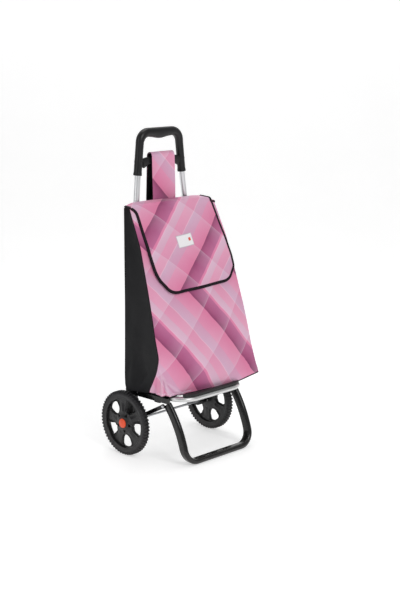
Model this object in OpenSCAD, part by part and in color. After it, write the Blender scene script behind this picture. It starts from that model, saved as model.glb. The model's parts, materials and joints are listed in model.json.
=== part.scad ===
// Two-wheeled shopping trolley: a chromed tube chassis with a moulded handle, a fold-up load
// platform, a front foot frame and a wedge-shaped cloth bag with a lift-up flap.
// The origin is on the floor, halfway across the trolley and halfway from the foot rail's
// front to the wheels' back. The trolley's front faces -Y and its handle stands towards +Y.

/* [Wheels] */
// Outer radius of a wheel
wheel_r = 100; // [96:1:104]
// Width of the tyre
tyre_w = 21; // [19:1:21]
// Distance from the middle plane to the middle of a wheel
wheel_x = 184.5; // [184:0.5:188]
// How far back the axle is
axle_y = 66; // [65:0.5:67]
// Diameter of the axle
axle_d = 8; // [7:0.5:9]
// Number of spokes in a rim
spokes = 5; // [5:1:6]

/* [Chassis] */
// Height of the handle's top above the floor
total_h = 985; // [980:1:1010]
// Diameter of an upright tube
tube_d = 18; // [16:1:18]
// Half the distance between the uprights where they enter the handle
neck_x = 93.8; // [93:0.1:94]
// Half the distance between the uprights at the axle
base_x = 149; // [148:0.5:149.5]
// Angle at which the upper tubes close towards the handle
splay = 6.4; // [6.3:0.05:6.5]
// How far back the middle of the foot rail is
foot_y = -151.5; // [-153:0.25:-150]
// Depth of the foot frame's flat-oval tube
foot_deep = 29; // [26:0.5:30]
// Thickness of the foot frame's flat-oval tube
foot_thick = 17; // [16:0.5:18]
// Half the width of the foot frame between tube centres
foot_x = 141; // [139:0.5:142]

/* [Platform] */
// Half the outer width of the platform loop
deck_x = 143; // [141:0.5:143]
// How far back the middle of the platform's front rail is
deck_y = -132; // [-134:1:-130]
// Width of the platform's flat tube
deck_tube_w = 24; // [22:1:25]
// Thickness of the platform's flat tube
deck_tube_t = 14; // [12:1:14]

/* [Bag] */
// Height of the bag's top edge above the floor
bag_top = 762; // [755:1:763]
// Thickness of the cloth panels
cloth = 3; // [2:0.5:3]
// Half the width of the flap
flap_x = 165; // [158:1:166]
// Height of the flap's lower edge above the floor
flap_low = 503; // [480:1:540]
// Half the width of the strap that hangs over the bridge
loop_x = 48; // [44:0.5:50]

/* [Hidden] */
$fn = 64;

axle_z = wheel_r;
run_gap = 0.05;
tube_wall = 1.2;
lean = 1.7;
handle_y = 97;
shoe_top = 200;
shoe_w = 22;
shoe_front = 58;
shoe_back = 88.5;
tube_foot_z = 116;
bend_z = 345;
bend_r = 120;
bar_in = deck_x + 2;
bar_out = 158;
bar_low = 184;
bar_high = 200;
bar_front = -90;
hinge_y = 38;
hinge_z = 195.5;
hinge_d = 8;
stay_t = 4;
stay_head = [153.5, -68, 172];
stay_foot = [164, axle_y, wheel_r];
deck_z = hinge_z;
bumper_t = 10;
deck_corner = 53;
leg_top = 177;
handle_neck = 844;
grip_r = 12;
hub_r = 22;
rim_in = 75;
rim_out = 81;
cap_r = 15;
bolt_y = 76.8;
bolt_z = 170;
push_nut_r = 8;
bush_in = 5;
rim_turn_left = 57.5;
rim_turn_right = 46.7;

// stations of the bag, from the top down: height, half-width and place of the back edge,
// half-width and place of the front edge
bag_rows = [
    [bag_top, 168, 78, 183, 32],
    [520, 176.23, 71.07, 190, -47],
    [360, 181.68, 66.48, 196, -88],
    [225, 186.27, 62.62, 195, -127],
    [214, 186.64, 62.3, 187, -119]
];
bag_low = 203.5;
flap_back_y = 75;
flap_top_z = 766;
flap_t = 2.5;
flap_corner = 45;
flap_edge_y = 29;
hem_w = 8;

function sgn_pair() = [-1, 1];

// a point on an arc in the X-Z plane
function arc_xz(cx, cz, r, a, y) = [cx + r * cos(a), y, cz + r * sin(a)];

// unit tangent of a path at one of its points
function tangent(path, i) =
    let (a = path[max(i - 1, 0)], b = path[min(i + 1, len(path) - 1)], d = b - a)
    d / norm(d);

// outline of a flat-oval section, as pairs of offsets along its two directions
function oval(w, t, r, steps = 4) = [
    for (q = [0 : 3], k = [0 : steps])
        let (a = 90 * q + 90 * k / steps,
             sx = (q == 0 || q == 3) ? 1 : -1, sy = (q < 2) ? 1 : -1)
        [sx * (w / 2 - r) + r * cos(a), sy * (t / 2 - r) + r * sin(a)]
];

// a bar swept along a path; wide[i] is the direction of the section's first side
module sweep(path, wide, section) {
    n = len(section);
    m = len(path);
    rings = [
        for (i = [0 : m - 1])
            let (t = tangent(path, i), w0 = wide[i] - t * (wide[i] * t), w = w0 / norm(w0), h = cross(t, w))
            for (s = section) path[i] + w * s[0] + h * s[1]
    ];
    sides = [
        for (i = [0 : m - 2], j = [0 : n - 1])
            [i * n + j, i * n + (j + 1) % n, (i + 1) * n + (j + 1) % n, (i + 1) * n + j]
    ];
    first = [[for (j = [n - 1 : -1 : 0]) j]];
    last = [[for (j = [0 : n - 1]) (m - 1) * n + j]];
    polyhedron(rings, [for (f = concat(sides, first, last)) [for (k = [len(f) - 1 : -1 : 0]) f[k]]]);
}

// a flat cloth panel: its outer corners, and how its thickness runs inwards
module panel(corners, inward) {
    n = len(corners);
    polyhedron(
        concat(corners, [for (p = corners) p + inward]),
        concat(
            [for (i = [1 : n - 2]) [0, i, i + 1]],
            [for (i = [1 : n - 2]) [n + i + 1, n + i, n]],
            [for (i = [0 : n - 1]) [(i + 1) % n, i, n + i, n + (i + 1) % n]]
        )
    );
}

module along_x(x0, x1, y, z) {
    translate([min(x0, x1), y, z]) rotate([0, 90, 0]) linear_extrude(abs(x1 - x0)) children();
}

module box_to(lo, hi) {
    translate([min(lo[0], hi[0]), min(lo[1], hi[1]), min(lo[2], hi[2])])
        cube([abs(hi[0] - lo[0]), abs(hi[1] - lo[1]), abs(hi[2] - lo[2])]);
}

// ---- uprights and their shoes ----

module upright_solid(r) {
    bend_h = bend_z - tube_foot_z;
    neck_len = (handle_neck + 24 - bend_z) / cos(splay);
    cylinder(r = r, h = bend_h);
    translate([-bend_r, 0, bend_h]) rotate([90, 0, 0])
        rotate_extrude(angle = splay) translate([bend_r, 0]) circle(r);
    translate([-bend_r, 0, bend_h]) rotate([0, -splay, 0]) translate([bend_r, 0, 0])
        cylinder(r = r, h = neck_len);
}

module place_upright(side) {
    mirror([side < 0 ? 1 : 0, 0, 0])
        translate([base_x, axle_y + 8.7, tube_foot_z]) rotate([-lean, 0, 0]) children();
}

module upright(side) {
    color("silver") difference() {
        place_upright(side) upright_solid(tube_d / 2);
        place_upright(side) translate([0, 0, -1])
            cylinder(r = tube_d / 2 - tube_wall, h = bend_z - tube_foot_z - 9);
        along_x(side * 120, side * 170, bolt_y, bolt_z) circle(2.5);
    }
}

module upright_shoe(side) {
    color("#202022") difference() {
        union() {
            box_to([side * (base_x - shoe_w / 2), shoe_front, axle_z],
                   [side * (base_x + shoe_w / 2), shoe_back, shoe_top]);
            along_x(side * (base_x - shoe_w / 2), side * (base_x + shoe_w / 2), axle_y + 9, axle_z) circle(16);
        }
        along_x(side * 120, side * 175, axle_y, axle_z) circle(axle_d / 2);
        place_upright(side) cylinder(d = tube_d, h = 200);
        along_x(side * 120, side * 170, bolt_y, bolt_z) circle(2.5);
    }
}

// ---- axle ----

module axle() {
    color("gainsboro") along_x(-wheel_x - 14.5, wheel_x + 14.5, axle_y, axle_z) circle(axle_d / 2);
}

module axle_nuts() {
    color("gainsboro") for (side = sgn_pair())
        along_x(side * (wheel_x + 11), side * (wheel_x + 13), axle_y, axle_z) difference() {
            circle(push_nut_r);
            circle(axle_d / 2);
        }
}

// ---- foot frame: a floor rail and two curved legs, bent from one tube ----

leg_bend = 345;
leg_start = 8.4;
corner_r = 44;

function leg_lean(z) = asin(sin(leg_start) + max(0, z - foot_thick / 2) / leg_bend);
function leg_y(z) = foot_y + leg_bend * (cos(leg_start) - cos(leg_lean(z)));
function leg_x(z) = foot_x + 2 * pow(max(0, z - 45) / 148, 2);
function leg_wide(z) =
    let (a = leg_lean(z) * min(1, max(0, z - foot_thick / 2) / 40)) [0, cos(a), -sin(a)];

leg_corner = [
    for (a = [-90 : 11.25 : 0])
        let (p = arc_xz(foot_x - corner_r, foot_thick / 2 + corner_r, corner_r, a, 0))
        [p[0], leg_y(p[2]), p[2]]
];
leg_run = [for (z = [66 : 13.875 : leg_top]) [leg_x(z), leg_y(z), z]];
foot_half = concat(leg_corner, leg_run);
foot_path = concat(
    [for (i = [len(foot_half) - 1 : -1 : 0]) let (p = foot_half[i]) [-p[0], p[1], p[2]]],
    foot_half
);

module foot_frame() {
    color("#1d1d1f") sweep(foot_path, [for (p = foot_path) leg_wide(p[2])], oval(foot_deep, foot_thick, 6));
}

module side_bar(side) {
    color("#1d1d1f") difference() {
        box_to([side * bar_in, bar_front, bar_low + 0.2], [side * bar_out, shoe_front, bar_high]);
        along_x(side * 130, side * 170, hinge_y, hinge_z) circle(hinge_d / 2);
    }
}

// ---- stays from the legs down to the axle ----

module stay(side) {
    head = [side * stay_head[0], stay_head[1], stay_head[2]];
    foot = [side * stay_foot[0], stay_foot[1], stay_foot[2]];
    half_t = stay_t / 2;
    color("#1d1d1f") difference() {
        union() {
            sweep([head, foot], [[1, 0, 0], [1, 0, 0]], [[half_t, 6], [-half_t, 6], [-half_t, -6], [half_t, -6]]);
            along_x(head[0] - half_t, head[0] + half_t, head[1], head[2]) circle(7);
            along_x(foot[0] - half_t, foot[0] + half_t, foot[1], foot[2]) circle(9);
        }
        along_x(side * 150, side * 175, axle_y, axle_z) circle(axle_d / 2);
        along_x(side * 145, side * 165, head[1], head[2]) circle(2.5);
    }
}

module stay_rivets() {
    color("silver") for (side = sgn_pair()) {
        face = stay_head[0] + stay_t / 2 + 0.3;
        along_x(side * (face - stay_t), side * face, stay_head[1], stay_head[2]) circle(2.5);
        translate([side * face, stay_head[1], stay_head[2]]) rotate([0, side * 90, 0])
            cylinder(r1 = 5, r2 = 3.4, h = 2.2);
    }
}

// ---- what the platform rests on and turns on ----

module deck_rest(side) {
    color("#1d1d1f") box_to([side * 126, -58, bar_low - 3], [side * bar_out, -36, bar_low]);
}

module deck_buffers() {
    color("#2b2b2b") for (side = sgn_pair()) translate([side * 134, -47, bar_low])
        cylinder(r = 6, h = hinge_z - deck_tube_t / 2 - bar_low - 0.3);
}

module hinge_pins() {
    color("silver") for (side = sgn_pair()) {
        along_x(side * (deck_x - deck_tube_w - 0.6), side * bar_out, hinge_y, hinge_z) circle(hinge_d / 2);
        along_x(side * (deck_x - deck_tube_w - 3.6), side * (deck_x - deck_tube_w - 0.6), hinge_y, hinge_z)
            circle(6);
    }
}

module bar_bolts() {
    color("silver") for (side = sgn_pair()) {
        along_x(side * (base_x - shoe_w / 2), side * (base_x + shoe_w / 2), bolt_y, bolt_z) circle(2.5);
        along_x(side * (base_x + shoe_w / 2), side * (base_x + shoe_w / 2 + 2), bolt_y, bolt_z) circle(4.5);
        along_x(side * (base_x - shoe_w / 2), side * (base_x - shoe_w / 2 - 3), bolt_y, bolt_z)
            circle(4.5, $fn = 6);
    }
}

// ---- handle ----

handle_shoulder = 32;
handle_axis_z = total_h - grip_r - 0.5;
handle_leg_x = neck_x - (handle_axis_z - handle_shoulder - handle_neck) * tan(splay);
handle_half = concat(
    [[neck_x, handle_y, handle_neck], [handle_leg_x, handle_y, handle_axis_z - handle_shoulder]],
    [for (a = [12 : 13 : 90])
        arc_xz(handle_leg_x - handle_shoulder, handle_axis_z - handle_shoulder, handle_shoulder, a, handle_y)]
);
handle_path = concat(
    handle_half,
    [for (i = [len(handle_half) - 1 : -1 : 0]) let (p = handle_half[i]) [-p[0], p[1], p[2]]]
);

module handle() {
    color("#1b1b1d") difference() {
        sweep(handle_path, [for (p = handle_path) [0, 1, 0]], oval(2 * grip_r, 2 * grip_r + 1, 8));
        for (side = sgn_pair()) place_upright(side) upright_solid(tube_d / 2);
        for (side = sgn_pair())
            translate([side * 88.1, handle_y + 5, 889]) rotate([-90, 0, 0]) cylinder(r = 2, h = 20);
    }
}

module handle_grip() {
    low = handle_axis_z - grip_r - 0.5;
    color("#2a2a2c") translate([0, handle_y - 5, low]) rotate([-90, 0, 0]) linear_extrude(10)
        polygon(concat([[-36, 0], [36, 0]], [for (a = [0 : 15 : 180]) [34 * cos(a), 1 + 5 * sin(a)]]));
}

bridge_y = 93.2;
bridge_path = [for (x = [-75 : 10 : 75]) [x, bridge_y, 893 - 11 * pow(x / 70, 2)]];

module handle_bridge() {
    color("#1b1b1d") sweep(bridge_path, [for (p = bridge_path) [0, 1, 0]], oval(13, 22, 5, 3));
}

module handle_screws() {
    color("silver") for (side = sgn_pair()) translate([side * 88.1, handle_y + 10, 889])
        rotate([-90, 0, 0]) {
            cylinder(r = 2, h = 3.6);
            translate([0, 0, 3.6]) cylinder(r1 = 3.6, r2 = 2.6, h = 2);
        }
}

// ---- platform: a flat-tube loop that turns up about the hinge pins ----

deck_rail_x = deck_x - deck_tube_w / 2;
deck_half = concat(
    [for (a = [-90 : 10 : 0])
        [deck_rail_x - deck_corner + deck_corner * cos(a), deck_y + deck_corner + deck_corner * sin(a), deck_z]],
    [[deck_rail_x, hinge_y + 8, deck_z]]
);
deck_path = concat(
    [for (i = [len(deck_half) - 1 : -1 : 0]) let (p = deck_half[i]) [-p[0], p[1], p[2]]],
    deck_half
);

module platform_loop() {
    color("silver") difference() {
        sweep(deck_path, [for (p = deck_path) [0, 0, 1]], oval(deck_tube_t, deck_tube_w, 6));
        along_x(-deck_x - 1, deck_x + 1, hinge_y, hinge_z) circle(hinge_d / 2 + run_gap);
    }
}

module platform_bumper() {
    rise = deck_tube_t / 2 + bumper_t / 2;
    line = [for (p = deck_path) if (abs(p[0]) < 119) p + [0, 0, rise]];
    color("#161616") sweep(line, [for (p = line) [0, 0, 1]], oval(bumper_t, 17, 4, 3));
}

module base_board() {
    color("#303032") box_to([-142, -94, bag_low + 3], [142, 48, bag_low + 7]);
}

// ---- wheels ----

module wheel_tyre(side) {
    color("#19191a") translate([side * wheel_x, axle_y, axle_z]) rotate([0, 90, 0]) rotate_extrude($fn = 96)
        polygon([
            [rim_out, -9], [89, -tyre_w / 2], [96, -tyre_w / 2], [wheel_r, -7],
            [wheel_r, 7], [96, tyre_w / 2], [89, tyre_w / 2], [rim_out, 9]
        ]);
}

module spoke_window() {
    intersection() {
        difference() {
            circle(rim_in - 1);
            circle(34);
        }
        translate([54, 0]) polygon([[-22, -5], [24, -25], [24, 25], [-22, 5]]);
    }
}

module wheel_rim(side) {
    color("#232324") translate([side * wheel_x, axle_y, axle_z]) rotate([0, 90, 0]) difference() {
        union() {
            translate([0, 0, -9]) linear_extrude(18) difference() {
                circle(rim_out);
                circle(rim_in);
            }
            translate([0, 0, -5]) linear_extrude(10) difference() {
                circle(rim_in);
                for (i = [0 : spokes - 1])
                    rotate(360 / spokes * i + (side < 0 ? rim_turn_left : rim_turn_right)) spoke_window();
            }
            translate([0, 0, -tyre_w / 2]) cylinder(r = hub_r, h = tyre_w);
        }
        translate([0, 0, -14]) cylinder(r = 6, h = 28);
        translate([0, 0, side > 0 ? bush_in : -tyre_w / 2 - 1]) cylinder(r = cap_r - 3, h = 1 + tyre_w / 2 - bush_in);
    }
}

module wheel_bush(side) {
    color("ivory") translate([side * wheel_x, axle_y, axle_z]) rotate([0, 90, 0]) difference() {
        translate([0, 0, side > 0 ? -tyre_w / 2 : -bush_in]) cylinder(r = 6, h = tyre_w / 2 + bush_in);
        translate([0, 0, -14]) cylinder(r = axle_d / 2 + run_gap, h = 28);
    }
}

module hub_cap(side) {
    face = wheel_x + tyre_w / 2;
    color("orangered") translate([side * face, axle_y, axle_z]) rotate([0, side * 90, 0]) difference() {
        union() {
            cylinder(r = cap_r, h = 4);
            translate([0, 0, 4]) cylinder(r1 = cap_r, r2 = cap_r - 4, h = 3);
        }
        translate([0, 0, -1]) cylinder(r = push_nut_r + 1.5, h = 5.5);
    }
}

// ---- bag ----

function row_front(i, side) = [side * bag_rows[i][3], bag_rows[i][4], bag_rows[i][0]];
function row_back(i, side) = [side * bag_rows[i][1], bag_rows[i][2], bag_rows[i][0]];

module bag_front() {
    color("#d981ab") for (i = [0 : len(bag_rows) - 2])
        panel([row_front(i, -1), row_front(i, 1), row_front(i + 1, 1), row_front(i + 1, -1)], [0, cloth, 0]);
}

module bag_back() {
    foot = [187, 62, bag_low];
    color("#27272a") panel(
        [row_back(0, 1), row_back(0, -1), [-foot[0], foot[1], foot[2]], foot], [0, -cloth, 0]
    );
}

// a gusset stops half a millimetre short of the front and back panels
module bag_gusset(side) {
    inset = cloth + 0.5;
    last = len(bag_rows) - 2;
    color("#1f1f22") for (i = [0 : last]) {
        low = i == last ? [bag_low, 187, 62, 184, -100] : bag_rows[i + 1];
        high = bag_rows[i];
        quad = [
            [side * high[3], high[4] + inset, high[0]], [side * high[1], high[2] - inset, high[0]],
            [side * low[1], low[2] - inset, low[0]], [side * low[3], low[4] + inset, low[0]]
        ];
        ordered = side > 0 ? [quad[0], quad[1], quad[2], quad[3]] : [quad[3], quad[2], quad[1], quad[0]];
        panel(ordered, [-side * cloth, 0, 0]);
    }
}

module bag_floor() {
    color("#1f1f22") box_to([-180, -97, bag_low], [180, 57, bag_low + 2]);
}

// the strap hangs over the bridge; its front layer ends at the bag's top, its back layer lower down
module bag_loop() {
    outer = concat(
        [[87, 715], [109, 766], [104, 900]],
        [for (a = [0 : 15 : 180]) [93.2 + 10.8 * cos(a), 904 + 7 * sin(a)]],
        [[82.4, 900], [79, 764.5]]
    );
    inner = concat(
        [[82, 764.5], [85.2, 899]],
        [for (a = [180 : -15 : 0]) [93.2 + 8 * cos(a), 904 + 4 * sin(a)]],
        [[101.2, 899], [106, 767], [84.5, 717.5]]
    );
    color("#d981ab") translate([-loop_x, 0, 0]) rotate([90, 0, 90]) linear_extrude(2 * loop_x)
        polygon(concat(outer, inner));
}

module corner_tab() {
    color("#1f1f22") box_to([183.6, 26, 744], [188, 38, 756]);
}

// ---- flap ----

// the front panel's slope, which the flap's front part follows
flap_slope = (bag_rows[0][4] - bag_rows[1][4]) / (bag_rows[0][0] - bag_rows[1][0]);
flap_lean = atan(flap_slope);
flap_len = (flap_top_z - flap_low) / cos(flap_lean);

module on_flap() {
    translate([0, flap_edge_y, flap_top_z]) rotate([-flap_lean, 0, 0]) rotate([90, 0, 0]) children();
}

module flap_outline(inset = 0) {
    w = flap_x - inset;
    l = flap_len - inset;
    r = flap_corner - inset;
    polygon(concat(
        [[w, 0], [-w, 0]],
        [for (a = [180 : 10 : 270]) [-w + r + r * cos(a), -l + r + r * sin(a)]],
        [for (a = [270 : 10 : 360]) [w - r + r * cos(a), -l + r + r * sin(a)]]
    ));
}

module flap_top() {
    color("#d981ab") box_to([-flap_x, flap_edge_y, flap_top_z], [flap_x, flap_back_y, flap_top_z + flap_t]);
}

module flap_front() {
    color("#d981ab") on_flap() linear_extrude(flap_t) flap_outline();
}

module flap_binding() {
    color("#1b1b1d") on_flap() translate([0, 0, flap_t]) linear_extrude(1.2) difference() {
        flap_outline();
        translate([0, 1, 0]) flap_outline(hem_w);
    }
}

module flap_label() {
    color("white") on_flap() translate([-34, -142, flap_t]) linear_extrude(0.8) square([62, 37]);
}

upright(-1);  // upright_left
upright(1);  // upright_right
upright_shoe(-1);  // upright_shoe_left
upright_shoe(1);  // upright_shoe_right
axle();
axle_nuts();
foot_frame();
side_bar(-1);  // side_bar_left
side_bar(1);  // side_bar_right
stay(-1);  // stay_left
stay(1);  // stay_right
stay_rivets();
deck_rest(-1);  // deck_rest_left
deck_rest(1);  // deck_rest_right
deck_buffers();
hinge_pins();
bar_bolts();
handle();
handle_grip();
handle_bridge();
handle_screws();
platform_loop();
platform_bumper();
base_board();
wheel_tyre(-1);  // wheel_tyre_left
wheel_tyre(1);  // wheel_tyre_right
wheel_rim(-1);  // wheel_rim_left
wheel_rim(1);  // wheel_rim_right
wheel_bush(-1);  // wheel_bush_left
wheel_bush(1);  // wheel_bush_right
hub_cap(-1);  // hub_cap_left
hub_cap(1);  // hub_cap_right
bag_front();
bag_back();
bag_floor();
bag_gusset(-1);  // bag_gusset_left
bag_gusset(1);  // bag_gusset_right
bag_loop();
corner_tab();
flap_top();
flap_front();
flap_binding();
flap_label();
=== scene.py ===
# %% [markdown]
# # A shopping trolley on two wheels
#
# The trolley is dressed here in the finishes and soft parts that a plain solid model cannot show: a plaid
# cloth bag that sags between its seams, a flap bound with black tape, moulded wheels with knobbly tyres, a
# glossy black foot frame and a chromed chassis. Each cell makes one part and says what it made. Lengths are
# in metres, the trolley's front faces -Y and its wheels turn about the X axis.

import json
import math

import bmesh
import bpy
import numpy as np
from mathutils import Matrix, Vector


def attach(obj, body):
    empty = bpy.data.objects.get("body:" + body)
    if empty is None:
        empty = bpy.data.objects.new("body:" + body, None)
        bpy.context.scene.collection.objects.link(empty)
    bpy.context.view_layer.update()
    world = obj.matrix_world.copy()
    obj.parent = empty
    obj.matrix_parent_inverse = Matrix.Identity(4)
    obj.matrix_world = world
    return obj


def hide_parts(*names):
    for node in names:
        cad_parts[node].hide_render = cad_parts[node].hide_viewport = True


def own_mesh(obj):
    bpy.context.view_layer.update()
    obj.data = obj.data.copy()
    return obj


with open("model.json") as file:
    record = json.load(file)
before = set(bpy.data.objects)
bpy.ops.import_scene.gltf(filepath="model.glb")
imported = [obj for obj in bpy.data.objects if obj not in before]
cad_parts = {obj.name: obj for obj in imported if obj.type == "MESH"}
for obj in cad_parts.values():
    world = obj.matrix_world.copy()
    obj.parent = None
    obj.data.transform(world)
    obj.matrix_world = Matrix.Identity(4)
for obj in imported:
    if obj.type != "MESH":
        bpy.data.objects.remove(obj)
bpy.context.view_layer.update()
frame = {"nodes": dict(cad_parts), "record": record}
nodes = frame["nodes"]
MM = 0.001

# %% [markdown]
# ## Shapes from rows of points
#
# Nearly every part below is a grid of points: a tube is a section carried along a path, a wheel is a profile
# turned about the axle, and a cloth panel is a grid with a second one behind it. Points are given in
# millimetres, because that is how the trolley was measured.

# %% Curves and grids
def spline(points, count):
    """Evenly spaced points on a smooth curve through the given ones."""
    p = np.array(points, float)
    p = np.vstack([2 * p[0] - p[1], p, 2 * p[-1] - p[-2]])
    fine = []
    for i in range(1, len(p) - 2):
        a, b, c, d = p[i - 1], p[i], p[i + 1], p[i + 2]
        t = np.linspace(0, 1, 24, endpoint=False)[:, None]
        bend = (2 * a - 5 * b + 4 * c - d) * t**2 + (3 * b - a - 3 * c + d) * t**3
        fine.append(0.5 * (2 * b + (c - a) * t + bend))
    return even(np.vstack(fine + [p[-2][None]]), count)


def even(line, count):
    """The same line with its points spread evenly along it."""
    line = np.array(line, float)
    run = np.concatenate([[0], np.cumsum(np.linalg.norm(np.diff(line, axis=0), axis=1))])
    at = np.linspace(0, run[-1], count)
    return np.stack([np.interp(at, run, line[:, k]) for k in range(line.shape[1])], axis=1)


def length(line):
    return float(np.linalg.norm(np.diff(np.array(line, float), axis=0), axis=1).sum())


def clamp(value):
    return min(1.0, max(0.0, value))


def hump(x, middle, wide):
    """A smooth bump from 0 to 1, highest at its middle."""
    return math.exp(-(((x - middle) / wide) ** 2))


def arc(a, b, r, start, end, count):
    """Points on an arc round (a, b), its angles in degrees."""
    return [(a + r * math.cos(t), b + r * math.sin(t)) for t in np.radians(np.linspace(start, end, count))]


def unit(v):
    v = np.array(v, float)
    return v / np.maximum(np.linalg.norm(v, axis=-1, keepdims=True), 1e-12)


def rounded(wide, thick, r, steps=4):
    """A rounded rectangle, as points going round it."""
    out = []
    for k, (sx, sy) in enumerate([(1, 1), (-1, 1), (-1, -1), (1, -1)]):
        for a in np.linspace(k * 90, k * 90 + 90, steps + 1):
            a = math.radians(a)
            out.append((sx * (wide / 2 - r) + r * math.cos(a), sy * (thick / 2 - r) + r * math.sin(a)))
    return np.array(out)


def make(name, verts, faces, uvs=None, sharp=35):
    """A mesh object from points in mm. uvs maps a layer's name to one (u, v) for each face corner."""
    mesh = bpy.data.meshes.new(name)
    mesh.from_pydata((np.array(verts, float) * MM).tolist(), [], faces)
    for layer, values in (uvs or {}).items():
        uv = mesh.uv_layers.new(name=layer)
        uv.data.foreach_set("uv", np.array(values, np.float32).reshape(-1))
    b = bmesh.new()
    b.from_mesh(mesh)
    bmesh.ops.remove_doubles(b, verts=b.verts, dist=2e-6)
    bmesh.ops.recalc_face_normals(b, faces=b.faces)
    b.to_mesh(mesh)
    b.free()
    mesh.shade_smooth()
    mesh.set_sharp_from_angle(angle=math.radians(sharp))
    obj = bpy.data.objects.new(name, mesh)
    bpy.context.collection.objects.link(obj)
    return obj


def grid_faces(rows, cols, wrap_rows=False, wrap_cols=False, base=0):
    out = []
    for i in range(rows if wrap_rows else rows - 1):
        for j in range(cols if wrap_cols else cols - 1):
            a, b = i, (i + 1) % rows
            c, d = j, (j + 1) % cols
            out.append((base + a * cols + c, base + a * cols + d, base + b * cols + d, base + b * cols + c))
    return out


def corner_uv(faces, per_vertex):
    per_vertex = np.array(per_vertex, float)
    return np.array([per_vertex[v] for f in faces for v in f])


def frames(path, hint):
    """Directions along and across a path. hint is roughly the normal, one for all or one for each point."""
    path = np.array(path, float)
    t = unit(np.gradient(path, axis=0))
    n = np.broadcast_to(np.array(hint, float), path.shape)
    n = unit(n - (n * t).sum(1)[:, None] * t)
    return t, n, np.cross(t, n)


def sweep(name, path, section, hint):
    """A solid tube: section, an (across, normal) outline or a list of them, carried along path."""
    path = np.array(path, float)
    t, n, s = frames(path, hint)
    section = np.array(section, float)
    if section.ndim == 2:
        section = np.broadcast_to(section, (len(path),) + section.shape)
    ring = section.shape[1]
    verts = (path[:, None] + section[:, :, :1] * s[:, None] + section[:, :, 1:] * n[:, None]).reshape(-1, 3)
    faces = grid_faces(len(path), ring, wrap_cols=True)
    verts = list(verts)
    for end, first in ((0, 0), (len(path) - 1, (len(path) - 1) * ring)):
        verts.append(path[end])
        hub = len(verts) - 1
        faces += [(first + k, first + (k + 1) % ring, hub) for k in range(ring)]
    return make(name, verts, faces)


def turned(name, profile, centre, side, steps=96, sharp=35):
    """A ring turned about the axle: profile is (radius, offset outwards) going round its section."""
    profile = np.array(profile, float)
    angles = np.linspace(0, 2 * math.pi, steps, endpoint=False)
    verts = []
    for a in angles:
        for r, x in profile:
            verts.append((centre[0] + side * x, centre[1] + r * math.cos(a), centre[2] + r * math.sin(a)))
    return make(name, verts, grid_faces(steps, len(profile), True, True), sharp=sharp)


def cloth_solid(name, grid, uvs, thick):
    """A panel of cloth: grid is its outer face, and its inner face lies thick behind it."""
    grid = np.array(grid, float)
    rows, cols, _ = grid.shape
    back = grid - unit(np.cross(np.gradient(grid, axis=1), np.gradient(grid, axis=0))) * thick
    verts = np.vstack([grid.reshape(-1, 3), back.reshape(-1, 3)])
    size = rows * cols
    faces = grid_faces(rows, cols)
    faces = faces + [tuple(size + v for v in reversed(f)) for f in faces]
    index = np.arange(size).reshape(rows, cols)
    rim = np.concatenate([index[0], index[1:, -1], index[-1, -2::-1], index[-2:0:-1, 0]]).tolist()
    faces += [(a, b, size + b, size + a) for a, b in zip(rim, rim[1:] + rim[:1])]
    layers = {}
    for key, flat in uvs.items():
        layers[key] = corner_uv(faces, np.vstack([np.array(flat, float).reshape(-1, 2)] * 2))
    return make(name, verts, faces, layers, sharp=60)


print("helpers ready")

# %% [markdown]
# ## Repeated small pieces
#
# Stitches, tread blocks and rivets repeat along a line. One geometry-node tree places a small piece on every
# point of a line, turned by that point's own directions, and the result is kept as a plain mesh.

# %% One tree that repeats a piece along a line
def repeat_tree():
    tree = bpy.data.node_groups.new("repeat_piece", "GeometryNodeTree")
    face = tree.interface
    kinds = {"Points": "Geometry", "Piece": "Object", "Finish": "Material", "Variation": "Float"}
    for name, kind in kinds.items():
        face.new_socket(name, in_out="INPUT", socket_type="NodeSocket" + kind)
    face.new_socket("Pieces", in_out="OUTPUT", socket_type="NodeSocketGeometry")
    n, link = tree.nodes, tree.links.new
    start, end = n.new("NodeGroupInput"), n.new("NodeGroupOutput")
    piece, place = n.new("GeometryNodeObjectInfo"), n.new("GeometryNodeInstanceOnPoints")
    link(start.outputs["Points"], place.inputs["Points"])
    link(start.outputs["Piece"], piece.inputs["Object"])
    link(piece.outputs["Geometry"], place.inputs["Instance"])
    turn = None
    for axis, name in (("X", "along"), ("Z", "out")):
        read, aim = n.new("GeometryNodeInputNamedAttribute"), n.new("FunctionNodeAlignRotationToVector")
        read.data_type, aim.axis = "FLOAT_VECTOR", axis
        read.inputs["Name"].default_value = name
        if turn:
            aim.pivot_axis = "X"
            link(turn, aim.inputs["Rotation"])
        link(read.outputs["Attribute"], aim.inputs["Vector"])
        turn = aim.outputs["Rotation"]
    link(turn, place.inputs["Rotation"])
    vary, add, take = n.new("FunctionNodeRandomValue"), n.new("ShaderNodeMath"), n.new("ShaderNodeMath")
    vary.inputs["Seed"].default_value = 7
    add.operation, take.operation = "ADD", "SUBTRACT"
    add.inputs[0].default_value = take.inputs[0].default_value = 1.0
    link(start.outputs["Variation"], add.inputs[1])
    link(start.outputs["Variation"], take.inputs[1])
    link(take.outputs[0], vary.inputs[2])
    link(add.outputs[0], vary.inputs[3])
    link(vary.outputs[1], place.inputs["Scale"])
    real, finish = n.new("GeometryNodeRealizeInstances"), n.new("GeometryNodeSetMaterial")
    link(place.outputs["Instances"], real.inputs["Geometry"])
    link(real.outputs["Geometry"], finish.inputs["Geometry"])
    link(start.outputs["Finish"], finish.inputs["Material"])
    link(finish.outputs["Geometry"], end.inputs["Pieces"])
    return tree


REPEAT = repeat_tree()


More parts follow.
